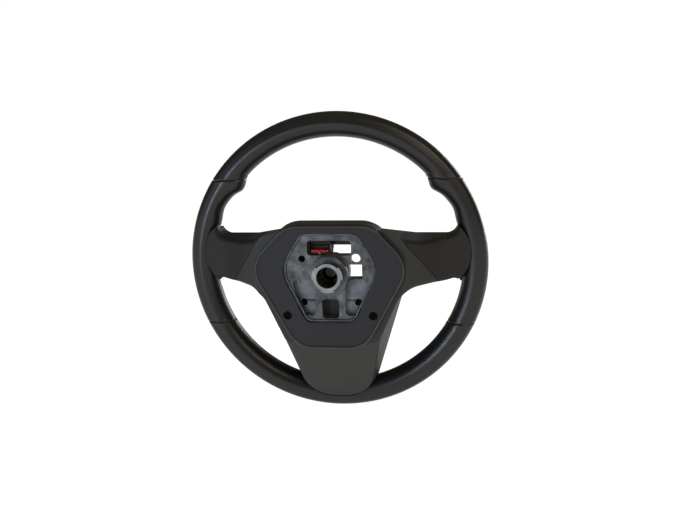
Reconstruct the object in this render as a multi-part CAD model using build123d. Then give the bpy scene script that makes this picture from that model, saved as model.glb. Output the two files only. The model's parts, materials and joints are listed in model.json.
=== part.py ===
"""Three-spoke leather car steering wheel, open at the hub where the airbag module goes.

The wheel is modelled lying flat, as seen from the steering column: x to the
right in that view, y up, z from the rim's middle plane towards the column.
STAND then turns it upright: X to the driver's right, Y forward, Z up, with the
origin on the steering axis at the mouth of the hub bush.
"""

import os
from math import cos, pi, radians, sin, tan

from build123d import *

# Rim
RIM_OUTER_R = 185.0
RIM_WIDTH = 31.2
RIM_RIDGE_INSET = 12.7
RIM_OUTER_REACH = 12.4
RIM_INNER_REACH = 18.6
RIM_TILT = 14.0
RIM_HALF_DEPTH = 16.6
RIM_OUTER_TOP_R = 11.1
RIM_INNER_TOP_R = 21.6
RIM_INNER_R = RIM_OUTER_R - RIM_WIDTH
RIM_RIDGE_R = RIM_OUTER_R - RIM_RIDGE_INSET
THUMB_BUMP_R = 15.0
THUMB_BUMP_LENGTH = 44.0
THUMB_BUMP_SWELL = 8.0
THUMB_BUMP_PROUD = 6.6
THUMB_BUMP_Z = 3.0
THUMB_BUMP_AT_R = RIM_INNER_R - THUMB_BUMP_PROUD + THUMB_BUMP_R
THUMB_BUMP_ANGLE = 37.5
THUMB_HOLLOW_R = 30.0
THUMB_HOLLOW_DEPTH = 2.5
THUMB_HOLLOW_ANGLE = 24.5
CORE_INSET = 13.5
CORE_R = RIM_OUTER_R - CORE_INSET
CORE_WIDTH = 11.0
CORE_HALF_DEPTH = 5.5

# Heights behind the rim's middle plane
HUB_RISE = 85.0
SHELF_Z = 64.0
PLATE_REAR_Z = 69.0
PLATE_FRONT_Z = 54.0
COVER_Z = 71.0
PARTING_Z = 2.0
BEZEL_FRONT_Z = -10.0
LOWER_TRIM_FRONT_Z = -8.0

# Walls and gaps
WALL = 3.0
GAP = 0.3
SEAM = 0.6
TRIM_CLEARANCE = 1.0
SEAT = 0.05

# Shield-shaped hub back cover: right-hand corners from the top, with their radii
SHIELD_CORNERS = [(50.5, 57.0), (94.4, 10.1), (40.4, -88.2)]
SHIELD_RADII = [35.0, 33.0, 32.0]
OPENING_CORNERS = [(33.5, 48.6), (59.0, 6.0), (28.4, -57.6)]
OPENING_RADII = [15.0, 37.0, 12.0]
LIP_WIDTH = 2.6
LIP_RISE = 1.0
LIP_BEVEL = 0.6
COVER_LIFT = 0.1
COVER_SEAT = 3.0
COVER_SCREW_X = 50.2
COVER_SCREW_Y = -48.7
SCREW_RECESS_R = 5.2
SCREW_HEAD_R = 4.3
SCREW_HEAD_H = 2.5
SCREW_SHANK_R = 1.9
SCREW_LENGTH = 16.0
SCREW_CUP_WALL = 1.8
SCREW_SLOT = 1.2
SCREW_SEAT_Z = 66.0
SCREW_BOSS_R = 4.5
SCREW_BOSS_H = 15.0

# Side spokes, their outer stretch placed from the rim
SPOKE_TOP_Y = 34.0
SPOKE_LOW_Y = -16.0
SPOKE_INNER_X = 70.0
SPOKE_SHOULDER = [(25.0, 55.2), (50.0, 52.6), (RIM_OUTER_R - 79.0, SPOKE_TOP_Y)]
SPOKE_SHOULDER_R = 60.0
SPOKE_HEEL = (RIM_OUTER_R - 55.0, -20.5)
SPOKE_HEEL_R = 60.0
SPOKE_ELBOW = (83.5, -20.5)
SPOKE_ELBOW_R = 25.0
SPOKE_ROOT = (56.0, -80.0)
SPOKE_FRONT_ROOT_Y = -30.0
SPOKE_FRONT_ELBOW_R = 10.0
SPOKE_WINDOW_X = RIM_OUTER_R - 38.5
SPOKE_FLARE_X = RIM_OUTER_R - 35.5
SPOKE_FLARE_TOP = (4.0, 38.0)
SPOKE_FLARE_LOW = (3.5, 43.0)
SPOKE_CORNER_R = 14.0
SPOKE_LOW_CORNER_R = 8.0
SPOKE_ROUND = 7.0
FLANK_RUN = 39.5
FLANK_FOOT = (RIM_OUTER_R - 57.5, 24.5)
FLANK_X = FLANK_FOOT[0] - FLANK_RUN
FLANK_FALL = 0.24
FLANK_BLEND_R = 45.0
SPOKE_END_X = RIM_OUTER_R - 62.0
SPOKE_END_Y = 14.0
SPOKE_END_R = 41.0
SEAM_TOP = (86.0, 37.0)
SEAM_FOOT = (123.1, -15.8)
BEZEL_END_R = RIM_INNER_R + 3.2
BEZEL_CLEARANCE = 2.0
BEZEL_BEVEL = 1.5
BEZEL_CORNER_R = 3.0

# Lower spoke
LEG_NECK = (76.6, -42.0)
LEG_HALF_WIDTH_END = 37.1
LEG_END_Y = 15.5 - RIM_OUTER_R
LEG_CORNER_R = 42.0
LEG_DRAFT = 10.0
LEG_LEVEL_Z = 17.0
LEG_RUN = 81.0
LEG_FOOT = (20.0 - RIM_OUTER_R, 18.5)
LEG_SLOPE_Y = LEG_FOOT[0] + LEG_RUN
LEG_TIP = (-10.0 - RIM_OUTER_R, 14.0)
LEG_ROUND = 7.0
LEG_BLEND_R = 45.0

# Top wall of the hub
HUB_DRAFT = 4.0
SHIELD_STEP = 0.6
TOP_WALL_FRONT_Z = 45.0
TOP_CUT_Y = SPOKE_TOP_Y + 1.0
TOP_CUT_INNER_X = 60.0
TOP_CUT_OUTER_X = 103.0

# Casting
ARM_THICK = 8.0
ARM_ROOT = [(38.0, 56.2), (74.0, 53.5)]
ARM_END = [(RIM_OUTER_R - 65.0, 15.0), (RIM_OUTER_R - 39.0, 9.0), (RIM_OUTER_R - 26.0, 0.0)]
ARM_PATH_RADII = [20.0, 25.0, 8.0, 6.0]
ARM_EDGES = [(-14.0, 34.0), (-6.0, 30.0), (3.0, 27.0)]
ARM_MID_X = 90.0
LEG_ARM_ROOT = [(-36.0, 57.0), (-80.0, 52.0)]
LEG_ARM_END = [(45.0 - RIM_OUTER_R, 14.0), (25.0 - RIM_OUTER_R, 0.0)]
LEG_ARM_PATH_RADII = [20.0, 15.0, 8.0]
LEG_ARM_X = 24.0
LEG_ARM_WIDTH = 14.0
BOSS_R = 22.5
BOSS_REAR_Z = 77.0
BOSS_FRONT_RISE = 6.0
PLATE_RECESS = 2.5
PLATE_RIM = 3.5
SLOT_WIDTH = 51.4
SLOT_HEIGHT = 17.4
SLOT_Y = 30.4
SLOT_R = 4.0
GUIDE_FROM_SLOT = 6.3
GUIDE_X = SLOT_WIDTH / 2 + GUIDE_FROM_SLOT
GUIDE_TOP_Y = 17.5
GUIDE_LOW_Y = -35.7
GUIDE_HOLE_R = 4.1
GUIDE_PLACES = [(-GUIDE_X, GUIDE_TOP_Y), (-GUIDE_X, GUIDE_LOW_Y), (GUIDE_X, GUIDE_LOW_Y)]
OPEN_HOLE = (GUIDE_X - 1.0, 18.2)
OPEN_HOLE_R = 5.4
OPEN_HOLE_RELIEF_R = 8.0
OPEN_HOLE_WALL = 5.0
SIDE_HOLE = (30.3, 2.6)
SIDE_HOLE_SIZE = (15.2, 16.8)
WINDOW_SIZE = (20.0, 23.0)
WINDOW_Y = -41.8
POCKET_CORNERS = [(19.8, -7.5), (45.0, -7.5), (34.0, -50.0), (17.0, -50.0)]
POCKET_R = 5.0
POCKET_FLOOR_Z = 59.0

# Hub bush and bolt
BUSH_R = 16.0
BUSH_FRONT_Z = 36.0
LOBE_R = 17.8
LOBE_ANGLES = (18.0, 162.0, 270.0)
LOBE_SPAN = 50.0
LOBE_LENGTH = 7.0
BORE_R = 12.1
BORE_DEPTH = 24.0
SPLINE_TEETH = 30
SPLINE_ROOT_R = 9.6
SPLINE_TIP_R = 8.7
SPLINE_LENGTH = 18.0
BOLT_R = 6.0
BOLT_HOLE_CLEARANCE = 0.3
BOLT_TIP_BELOW_BORE = 3.0
BOLT_FLANGE_R = 11.0
BOLT_FLANGE_H = 3.5
BOLT_HEAD_ACROSS = 18.0
BOLT_HEAD_H = 9.0

# Connector in the upper slot
CONNECTOR_CLEARANCE = 0.7
CONNECTOR_WIDTH = 26.5
CONNECTOR_X = (CONNECTOR_CLEARANCE - SLOT_WIDTH / 2, CONNECTOR_CLEARANCE - SLOT_WIDTH / 2 + CONNECTOR_WIDTH)
CONNECTOR_REAR_Z = 62.0
CONNECTOR_FRONT_Z = 38.0
CONNECTOR_WALL = 1.6
CONNECTOR_FLOOR_Z = 52.0
FLANGE_THICK = 5.0
FLANGE_X = SLOT_WIDTH / 2 + 1.8
FLANGE_Y = (SLOT_Y - 17.9, SLOT_Y + 12.1)
FLANGE_WINDOW_X = (CONNECTOR_X[1] + 1.0, FLANGE_X + 1.0)
FLANGE_WINDOW_Y = (FLANGE_Y[0] - 1.0, SLOT_Y + 1.3)
PIN_COUNT = 8
PIN_PITCH = 2.6
PIN_ROWS = (0.4, 4.4)
PIN_SIZE = 0.8
PIN_LENGTH = 7.0
LOCK_THICK = 1.1
LOCK_TOOTH = 1.5
LOCK_HEIGHT = 8.5
LOCK_TAB = (2.4, 2.2, 0.8)

# Guide sockets and horn contact carrier on the front of the casting
SOCKET_PROUD = 3.0
SOCKET_END = 1.5
SOCKET_BORE_R = 2.4
SOCKET_DEPTH = 4.6
CARRIER_SIZE = (30.0, 34.0)
CARRIER_THICK = 4.0
CARRIER_CONTACT_X = 8.0
CARRIER_CONTACT_R = 3.0

# Switch pods in the front of the side spokes
POD_X = RIM_OUTER_R - 65.5
POD_Y = 8.0
POD_SIZE = (50.0, 36.0)
POD_R = 3.0
POD_FRONT_Z = -9.5
POD_BACK_Z = 2.4
POD_FACE = 2.0
POD_WALL = 1.5
POD_FLANGE = 1.5
KEY_R = 2.0
KEY_CLEARANCE = 0.35
KEY_PROUD = 2.0
KEY_FLANGE = 0.5
KEY_MARGIN = 0.7
KEY_FLANGE_H = 1.2
KEY_STEM = 4.0
KEY_TRAVEL = 1.5
KEY_STOP_GAP = 0.4
BOARD_THICK = 1.6
ROLLER_R = 5.5
ROLLER_WIDTH = 8.4
ROLLER_PROUD = 2.2
ROLLER_SIDES = 16
ROLLER_CLEARANCE = 0.5
AXLE_R = 1.3
AXLE_LENGTH = 1.2
CHEEK = 1.4
CHEEK_BELOW = 3.0

# Reach of shapes that are trimmed later
FAR = 400.0
OVERRUN = 60.0
STAND = Plane(origin=(0, -HUB_RISE, 0), x_dir=(-1, 0, 0), z_dir=(0, 1, 0)).location


def prism(sketch, low, high, taper=0.0):
    """A plan outline raised from one height to another."""
    return extrude(Pos(0, 0, low) * sketch, high - low, dir=(0, 0, 1), taper=taper)


def both_sides(part):
    """A piece with its mirror image across the middle plane."""
    return part + mirror(part, Plane.YZ)


def symmetric_outline(corners, radii):
    """A closed outline from its right-hand corners, each rounded by its own radius."""
    left = [(-x, y) for x, y in reversed(corners)]
    return make_face(FilletPolyline(*corners, *left, radius=[*radii, *reversed(radii)], close=True))


def grown(sketch, amount):
    """An outline moved outwards, or inwards where the amount is negative."""
    return offset(sketch, amount) if amount else sketch


def eased(sketch, radius):
    """An outline with its outward corners rounded."""
    return grown(grown(sketch, -radius), radius)


def band(path, radii, thick):
    """A strip of even thickness along a path of straight runs and arcs."""
    line = FilletPolyline(*path, radius=radii)
    return make_face(offset(line, thick / 2, side=Side.BOTH).edges())


def box_between(x, y, z):
    """A box given by its limits along each axis."""
    size = (x[1] - x[0], y[1] - y[0], z[1] - z[0])
    return Pos(sum(x) / 2, sum(y) / 2, sum(z) / 2) * Box(*size)


def shield(grow=0.0):
    return grown(symmetric_outline(SHIELD_CORNERS, SHIELD_RADII), grow)


def opening(grow=0.0):
    return grown(symmetric_outline(OPENING_CORNERS, OPENING_RADII), grow)


def spoke_plan(grow=0.0, rear=False):
    """Side spoke seen along the steering axis; its rear half runs on into the hub and the lower spoke."""
    reach = RIM_OUTER_R + OVERRUN
    top = (SPOKE_WINDOW_X + SPOKE_FLARE_TOP[0], SPOKE_TOP_Y + SPOKE_FLARE_TOP[1])
    low = (SPOKE_FLARE_X + SPOKE_FLARE_LOW[0], SPOKE_LOW_Y - SPOKE_FLARE_LOW[1])
    flare = [(SPOKE_WINDOW_X, SPOKE_TOP_Y), top, (reach, top[1]), (reach, low[1]), low]
    flare_radii = [SPOKE_CORNER_R, 0, 0, 0, 0]
    lower = [(SPOKE_FLARE_X, SPOKE_LOW_Y), SPOKE_HEEL, SPOKE_ELBOW]
    if rear:
        points = [*SPOKE_SHOULDER, *flare, *lower, SPOKE_ROOT]
        radii = [0, SPOKE_SHOULDER_R, SPOKE_SHOULDER_R, *flare_radii]
        radii += [SPOKE_LOW_CORNER_R, SPOKE_HEEL_R, SPOKE_ELBOW_R, 0]
    else:
        points = [(SPOKE_INNER_X, SPOKE_TOP_Y), *flare, *lower, (SPOKE_INNER_X, SPOKE_FRONT_ROOT_Y)]
        radii = [0, *flare_radii, SPOKE_LOW_CORNER_R, SPOKE_HEEL_R, SPOKE_FRONT_ELBOW_R, 0]
    return grown(make_face(FilletPolyline(*points, radius=radii, close=True)), grow)


def spoke_profile(drop=0.0):
    """Side view of the spoke's rear face: a steep flank that eases into the rim."""
    climb = (SHELF_Z - FLANK_FOOT[1]) / (FLANK_FOOT[0] - FLANK_X)
    start = FLANK_X - OVERRUN
    reach = RIM_OUTER_R + OVERRUN
    line = FilletPolyline(
        (start, -OVERRUN),
        (start, FLANK_FOOT[1] + climb * (FLANK_FOOT[0] - start)),
        FLANK_FOOT,
        (reach, FLANK_FOOT[1] - FLANK_FALL * (reach - FLANK_FOOT[0])),
        (reach, -OVERRUN),
        radius=[0, 0, FLANK_BLEND_R, 0, 0],
        close=True,
    )
    return grown(make_face(line), -drop)


def spoke_end(grow, low, high):
    """Prism that ends the side spoke in an arc on the rim."""
    end = Pos(SPOKE_END_X, SPOKE_END_Y) * Circle(SPOKE_END_R + grow)
    inner = Pos(SPOKE_END_X / 2, 0) * Rectangle(SPOKE_END_X, FAR)
    return prism(end + inner, low, high)


def rear_edges(form):
    """Edges where a form's side walls meet its rear face, each with its middle point."""
    walls = set()
    rears = set()
    for face in form.faces():
        rise = face.normal_at().Z
        if rise > 0.3:
            rears.update(face.edges())
        elif rise > -0.3:
            walls.update(face.edges())
    return [(edge, edge @ 0.5) for edge in walls & rears]


def side_spoke(inset=0.0, low=PARTING_Z):
    """Rear half of the right-hand spoke, its long edges rounded unless it is an inner form."""
    form = prism(spoke_plan(-inset, rear=True), low, HUB_RISE)
    form &= extrude(Plane.XZ * spoke_profile(inset), FAR, both=True)
    if not inset:
        limits = (SPOKE_ROOT[0], SPOKE_FLARE_X + SPOKE_CORNER_R)
        inboard = [(edge, at) for edge, at in rear_edges(form) if limits[0] < at.X < limits[1]]
        upper = [edge for edge, at in inboard if at.Y > SPOKE_TOP_Y - SPOKE_ROUND]
        lower = [edge for edge, at in inboard if at.Y < SPOKE_LOW_Y + SPOKE_ROUND]
        form = fillet(upper + lower, SPOKE_ROUND)
    return form & spoke_end(-inset, low, SHELF_Z - inset)


def leg_plan(grow=0.0):
    """Lower spoke seen along the steering axis, with its U-shaped end on the rim."""
    corners = [LEG_NECK, (LEG_HALF_WIDTH_END, LEG_END_Y)]
    return grown(symmetric_outline(corners, [0.0, LEG_CORNER_R]), grow)


def leg_profile(drop=0.0):
    """Side view of the lower spoke's rear face."""
    climb = (SHELF_Z - LEG_FOOT[1]) / (LEG_SLOPE_Y - LEG_FOOT[0])
    start = LEG_SLOPE_Y + OVERRUN
    line = FilletPolyline(
        (start, -OVERRUN),
        (start, SHELF_Z + climb * (start - LEG_SLOPE_Y)),
        LEG_FOOT,
        LEG_TIP,
        (LEG_TIP[0], -OVERRUN),
        radius=[0, 0, LEG_BLEND_R, 0, 0],
        close=True,
    )
    return grown(make_face(line), -drop)


def drafted(sketch, level, low, high, angle):
    """An outline that narrows towards the column by a draft angle, true at one level."""
    return prism(grown(sketch, (level - low) * tan(radians(angle))), low, high, taper=angle)


def lower_spoke(inset=0.0, low=PARTING_Z):
    """Rear half of the lower spoke, its edges rounded unless it is an inner form."""
    form = drafted(leg_plan(-inset), LEG_LEVEL_Z, low, HUB_RISE, LEG_DRAFT)
    form &= extrude(Plane.YZ * leg_profile(inset), FAR, both=True)
    if not inset:
        below_neck = [edge for edge, at in rear_edges(form) if at.Y < LEG_NECK[1] - LEG_ROUND]
        form = fillet(below_neck, LEG_ROUND)
    return form & prism(Rectangle(FAR, FAR), low, SHELF_Z - inset)


def hub_block(inset=0.0, low=PARTING_Z):
    """Hub body under the shield, with drafted walls."""
    return drafted(shield(SHIELD_STEP - inset), SHELF_Z, low, SHELF_Z - inset, HUB_DRAFT)


def seam_zone(shift):
    """Plan area beyond the diagonal seam, moved away from it by a shift."""
    top = Vector(*SEAM_TOP)
    foot = Vector(*SEAM_FOOT)
    along = (foot - top).normalized()
    out = Vector(-along.Y, along.X) * shift
    a = top - along * OVERRUN + out
    b = foot + along * OVERRUN + out
    return make_face(Polyline((a.X, a.Y), (b.X, b.Y), (FAR, b.Y), (FAR, a.Y), close=True))


def core_ring(grow=0.0):
    section = Rectangle(CORE_WIDTH + 2 * grow, 2 * (CORE_HALF_DEPTH + grow))
    return revolve(Plane.XZ * (Pos(CORE_R, 0) * section), Axis.Z)


def spoke_arm(grow=0.0):
    """Cast arm from the hub plate to the rim core."""
    strip = band([*ARM_ROOT, *ARM_END, (CORE_R, 0.0)], ARM_PATH_RADII, ARM_THICK + 2 * grow)
    (root_low, root_high), (mid_low, mid_high), (end_low, end_high) = ARM_EDGES
    corners = [
        (GUIDE_X, root_high),
        (ARM_MID_X, mid_high),
        (CORE_R, end_high),
        (CORE_R, end_low),
        (ARM_MID_X, mid_low),
        (GUIDE_X, root_low),
    ]
    plan = make_face(Polyline(*corners, close=True))
    return extrude(Plane.XZ * strip, FAR, both=True) & prism(grown(plan, grow), -FAR, FAR)


def leg_arm(grow=0.0):
    """Cast arm from the hub plate down to the rim core, one of a pair."""
    strip = band([*LEG_ARM_ROOT, *LEG_ARM_END, (-CORE_R, 0.0)], LEG_ARM_PATH_RADII, ARM_THICK + 2 * grow)
    arm = extrude(Plane.YZ * strip, LEG_ARM_WIDTH / 2 + grow, both=True)
    return Pos(LEG_ARM_X, 0, 0) * arm


def arms(grow=0.0):
    return both_sides(spoke_arm(grow) + leg_arm(grow))


def make_armature():
    """One casting: hub plate with its pockets and holes, four arms and the rim core."""
    plate = prism(opening(COVER_SEAT), PLATE_FRONT_Z, PLATE_REAR_Z)
    plate -= prism(opening(COVER_SEAT - PLATE_RIM), PLATE_REAR_Z - PLATE_RECESS, PLATE_REAR_Z + 1)
    pocket = make_face(FilletPolyline(*POCKET_CORNERS, radius=POCKET_R, close=True))
    plate -= both_sides(prism(pocket, POCKET_FLOOR_Z, PLATE_REAR_Z))
    plate += prism(Circle(BOSS_R), PLATE_FRONT_Z - BOSS_FRONT_RISE, BOSS_REAR_Z)
    casting = plate + arms() + core_ring()
    holes = [Pos(0, SLOT_Y) * RectangleRounded(SLOT_WIDTH, SLOT_HEIGHT, SLOT_R)]
    holes += [Pos(*place) * Circle(GUIDE_HOLE_R) for place in GUIDE_PLACES]
    holes += [Pos(*OPEN_HOLE) * Circle(OPEN_HOLE_R), Pos(*SIDE_HOLE) * Rectangle(*SIDE_HOLE_SIZE)]
    holes += [Pos(0, WINDOW_Y) * RectangleRounded(*WINDOW_SIZE, SLOT_R)]
    for hole in holes:
        casting -= prism(hole, 0, HUB_RISE)
    relief_z = PLATE_REAR_Z - PLATE_RECESS - OPEN_HOLE_WALL
    casting -= prism(Pos(*OPEN_HOLE) * Circle(OPEN_HOLE_RELIEF_R), 0, relief_z)
    return casting - prism(Circle(BUSH_R + SEAT), 0, HUB_RISE)


def make_hub_bush():
    """Turned steel bush: lobed collar, pilot bore, splines and a bolt seat."""
    collar_z = HUB_RISE - LOBE_LENGTH
    bush = prism(Circle(BUSH_R), BUSH_FRONT_Z, HUB_RISE)
    sector = make_face(Polyline((0, 0), Vector(FAR, 0).rotate(Axis.Z, -LOBE_SPAN / 2),
                                Vector(FAR, 0).rotate(Axis.Z, LOBE_SPAN / 2), close=True))
    for angle in LOBE_ANGLES:
        bush += prism(Circle(LOBE_R) & (Rot(0, 0, angle) * sector), collar_z, HUB_RISE)
    bore_floor = HUB_RISE - BORE_DEPTH
    bush -= prism(Circle(BORE_R), bore_floor, HUB_RISE)
    tooth_form = ((0.0, SPLINE_ROOT_R), (0.4, SPLINE_ROOT_R), (0.5, SPLINE_TIP_R), (0.9, SPLINE_TIP_R))
    points = []
    for tooth in range(SPLINE_TEETH):
        for share, radius in tooth_form:
            turn = 2 * pi * (tooth + share) / SPLINE_TEETH
            points.append((radius * cos(turn), radius * sin(turn)))
    bush -= prism(make_face(Polyline(*points, close=True)), bore_floor - SPLINE_LENGTH, bore_floor)
    return bush - prism(Circle(BOLT_R + BOLT_HOLE_CLEARANCE), BUSH_FRONT_Z, bore_floor)


def make_centre_bolt():
    """Bolt that draws the bush onto the column shaft, its head on the driver's side."""
    tip = HUB_RISE - BORE_DEPTH - BOLT_TIP_BELOW_BORE
    flange_z = BUSH_FRONT_Z - BOLT_FLANGE_H
    bolt = prism(Circle(BOLT_R), flange_z, tip) + prism(Circle(BOLT_FLANGE_R), flange_z, BUSH_FRONT_Z)
    head = RegularPolygon(BOLT_HEAD_ACROSS / 2, 6, major_radius=False)
    return bolt + prism(head, flange_z - BOLT_HEAD_H, flange_z)


def tangent_end(reach, top_r):
    """Radius of the end arc of an oval half: reach from the ridge, tangent to a top arc."""
    rise = RIM_HALF_DEPTH - top_r
    return reach + (rise ** 2 - (reach - top_r) ** 2) / (2 * (reach - top_r))


def oval_half(reach, top_r, side):
    """Half of the rim section in three tangent arcs, on one side of its ridge."""
    end_r = tangent_end(reach, top_r)
    top = Vector(RIM_RIDGE_R, RIM_HALF_DEPTH - top_r)
    end = Vector(RIM_RIDGE_R + side * (reach - end_r), 0)
    out = (top - end).normalized() if end_r > top_r else (end - top).normalized()
    meet = end + out * end_r
    low = Vector(meet.X, -meet.Y)
    peak = Vector(RIM_RIDGE_R, RIM_HALF_DEPTH)
    foot = Vector(RIM_RIDGE_R, -RIM_HALF_DEPTH)
    bisector = ((peak - top).normalized() + (meet - top).normalized()).normalized() * top_r
    upper = ThreePointArc(peak, top + bisector, meet)
    nose = ThreePointArc(meet, end + Vector(side * end_r, 0), low)
    under = ThreePointArc(low, Vector((top + bisector).X, -(top + bisector).Y), foot)
    return [upper, nose, under]


def rim_section():
    """Egg-shaped section of the rim, flatter on its outer side, its inner end tilted to the column."""
    outer = oval_half(RIM_OUTER_REACH, RIM_OUTER_TOP_R, 1)
    inner = oval_half(RIM_INNER_REACH, RIM_INNER_TOP_R, -1)
    turn = Pos(RIM_RIDGE_R, 0) * Rot(0, 0, -RIM_TILT) * Pos(-RIM_RIDGE_R, 0)
    return turn * make_face([*outer, *inner])


def on_rim(radius, angle):
    """Location at a radius and an angle above the three o'clock line."""
    return Rot(0, 0, angle) * Pos(radius, 0, 0)


def thumb_barrel():
    """Barrel along the rim's direction whose inner side swells into the thumb rest."""
    half = THUMB_BUMP_LENGTH / 2
    end_r = THUMB_BUMP_R - THUMB_BUMP_SWELL
    swell = ThreePointArc((end_r, -half), (THUMB_BUMP_R, 0), (end_r, half))
    closing = Polyline((end_r, half), (0, half), (0, -half), (end_r, -half))
    return revolve(make_face([swell, closing]), Axis.Y)


def make_leather_rim():
    """Padded leather rim with thumb rests, open where the spokes join it."""
    rim = revolve(Plane.XZ * rim_section(), Axis.Z)
    hollow_r = RIM_INNER_R + THUMB_HOLLOW_DEPTH - THUMB_HOLLOW_R
    hollow = on_rim(hollow_r, THUMB_HOLLOW_ANGLE) * Cylinder(THUMB_HOLLOW_R, FAR)
    rim -= both_sides(hollow)
    for angle in (THUMB_BUMP_ANGLE, 180 - THUMB_BUMP_ANGLE):
        rim += on_rim(THUMB_BUMP_AT_R, angle) * Pos(0, 0, THUMB_BUMP_Z) * thumb_barrel()
    rear = PARTING_Z - GAP
    flank = prism(spoke_plan(GAP), rear, SHELF_Z) & spoke_end(GAP, rear, SHELF_Z)
    rim -= both_sides(flank)
    rim -= drafted(leg_plan(GAP), LEG_LEVEL_Z, rear, SHELF_Z, LEG_DRAFT)
    within = Circle(BEZEL_END_R + GAP)
    rim -= both_sides(prism(spoke_plan(GAP) & within, BEZEL_FRONT_Z - FAR, PARTING_Z))
    rim -= prism(leg_front_plan(GAP) & within, LOWER_TRIM_FRONT_Z - FAR, PARTING_Z)
    rim -= core_ring(GAP)
    return rim - arms(GAP)


def leg_front_plan(grow=0.0):
    """Lower spoke's outline at the parting plane."""
    return leg_plan(grow + (LEG_LEVEL_Z - PARTING_Z) * tan(radians(LEG_DRAFT)))


def make_hub_back_cover():
    """Shield-shaped cover: bead lip, skirt down to the shelf, opening over the hub plate."""
    cover = prism(shield(), SHELF_Z + COVER_LIFT, COVER_Z)
    cover += prism(shield() - shield(-LIP_WIDTH), COVER_Z, COVER_Z + LIP_RISE)
    cover = chamfer(cover.faces().sort_by(Axis.Z)[-1].edges(), LIP_BEVEL)
    cover -= prism(shield(-WALL), SHELF_Z, PLATE_REAR_Z + GAP)
    for x in (-COVER_SCREW_X, COVER_SCREW_X):
        at = Pos(x, COVER_SCREW_Y)
        cover += prism(at * Circle(SCREW_RECESS_R + SCREW_CUP_WALL), SHELF_Z + COVER_LIFT, COVER_Z)
        cover -= prism(at * Circle(SCREW_RECESS_R), SCREW_SEAT_Z, HUB_RISE)
        cover -= prism(at * Circle(SCREW_SHANK_R + GAP), SHELF_Z, HUB_RISE)
    return cover - prism(opening(), SHELF_Z, HUB_RISE)


def make_cover_screws():
    """Pan-head screws in the recesses of the cover."""
    screws = []
    for x in (-COVER_SCREW_X, COVER_SCREW_X):
        at = Pos(x, COVER_SCREW_Y)
        screw = prism(at * Circle(SCREW_HEAD_R), SCREW_SEAT_Z, SCREW_SEAT_Z + SCREW_HEAD_H)
        screw += prism(at * Circle(SCREW_SHANK_R), SCREW_SEAT_Z - SCREW_LENGTH, SCREW_SEAT_Z)
        slot = at * (Rectangle(SCREW_HEAD_R, SCREW_SLOT) + Rectangle(SCREW_SLOT, SCREW_HEAD_R))
        screws.append(screw - prism(slot, SCREW_SEAT_Z + SCREW_HEAD_H - SCREW_SLOT, HUB_RISE))
    return screws


def top_notch():
    """Space in front of the hub's top wall and shoulder, on one side."""
    edge = [(0, TOP_WALL_FRONT_Z), (TOP_CUT_INNER_X, TOP_WALL_FRONT_Z), (TOP_CUT_OUTER_X, 0), (0, 0)]
    notch = extrude(Plane.XZ * make_face(Polyline(*edge, close=True)), -FAR)
    return notch & prism(Pos(0, TOP_CUT_Y + FAR / 2) * Rectangle(FAR, FAR), 0, FAR)


def make_spoke_back_shell():
    """Y-shaped moulding: hub walls, spoke flanks and the lower spoke, open to the front."""
    shell = both_sides(side_spoke()) + lower_spoke() + hub_block()
    inside = -HUB_RISE
    shell -= both_sides(side_spoke(WALL, inside)) + lower_spoke(WALL, inside) + hub_block(WALL, inside)
    shell -= prism(opening(COVER_SEAT + 2 * GAP), 0, HUB_RISE)
    shell -= both_sides(prism(seam_zone(-SEAM / 2), -FAR, FAR))
    shell -= both_sides(top_notch())
    for x in (-COVER_SCREW_X, COVER_SCREW_X):
        at = Pos(x, COVER_SCREW_Y)
        shell += prism(at * Circle(SCREW_BOSS_R), SHELF_Z - SCREW_BOSS_H, SHELF_Z)
        shell -= prism(at * Circle(SCREW_SHANK_R + SEAT), 0, HUB_RISE)
    return shell - arms(TRIM_CLEARANCE) - core_ring(TRIM_CLEARANCE)


def make_spoke_back_trim():
    """Spoke-end trim between the diagonal seam and the leather, on the right in this view."""
    trim = side_spoke() - side_spoke(WALL, -HUB_RISE)
    trim &= prism(seam_zone(SEAM / 2), -FAR, FAR)
    return trim - top_notch() - arms(TRIM_CLEARANCE)


def make_switch_bezel():
    """Front trim of the side spoke with the opening for the switch pod."""
    top = PARTING_Z - GAP
    outline = eased((spoke_plan() & Circle(BEZEL_END_R)) - shield(BEZEL_CLEARANCE), BEZEL_CORNER_R)
    bezel = prism(outline, BEZEL_FRONT_Z, top)
    bezel = chamfer(bezel.faces().sort_by(Axis.Z)[0].edges(), BEZEL_BEVEL)
    bezel -= prism(grown(outline, -WALL), BEZEL_FRONT_Z + WALL, top + 1)
    bezel -= prism(pod_outline(GAP), -FAR, FAR)
    return bezel - arms(TRIM_CLEARANCE)


def make_lower_front_trim():
    """Front trim of the lower spoke."""
    top = PARTING_Z - GAP
    outline = (leg_front_plan() & Circle(BEZEL_END_R)) - shield(BEZEL_CLEARANCE)
    outline = eased(outline - both_sides(spoke_plan(SEAM)), BEZEL_CORNER_R)
    trim = prism(outline, LOWER_TRIM_FRONT_Z, top)
    trim = chamfer(trim.faces().sort_by(Axis.Z)[0].edges(), BEZEL_BEVEL)
    trim -= prism(grown(outline, -WALL), LOWER_TRIM_FRONT_Z + WALL, top + 1)
    return trim - arms(TRIM_CLEARANCE)


def pod_outline(grow=0.0):
    width, height = POD_SIZE
    return Pos(POD_X, POD_Y) * RectangleRounded(width + 2 * grow, height + 2 * grow, POD_R + grow)


def key_bay():
    """One quarter of the pod's inside, beside the thumb wheel: middle and size."""
    width, height = POD_SIZE
    side = width / 2 - POD_WALL
    cheek = ROLLER_WIDTH / 2 + ROLLER_CLEARANCE + CHEEK
    top = height / 2 - POD_WALL
    return ((side + cheek) / 2, top / 2), (side - cheek, top)


def key_size():
    """Aperture of a key: its bay less the room for the key's flange."""
    room = 2 * (KEY_FLANGE + KEY_MARGIN)
    return [size - room for size in key_bay()[1]]


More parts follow.
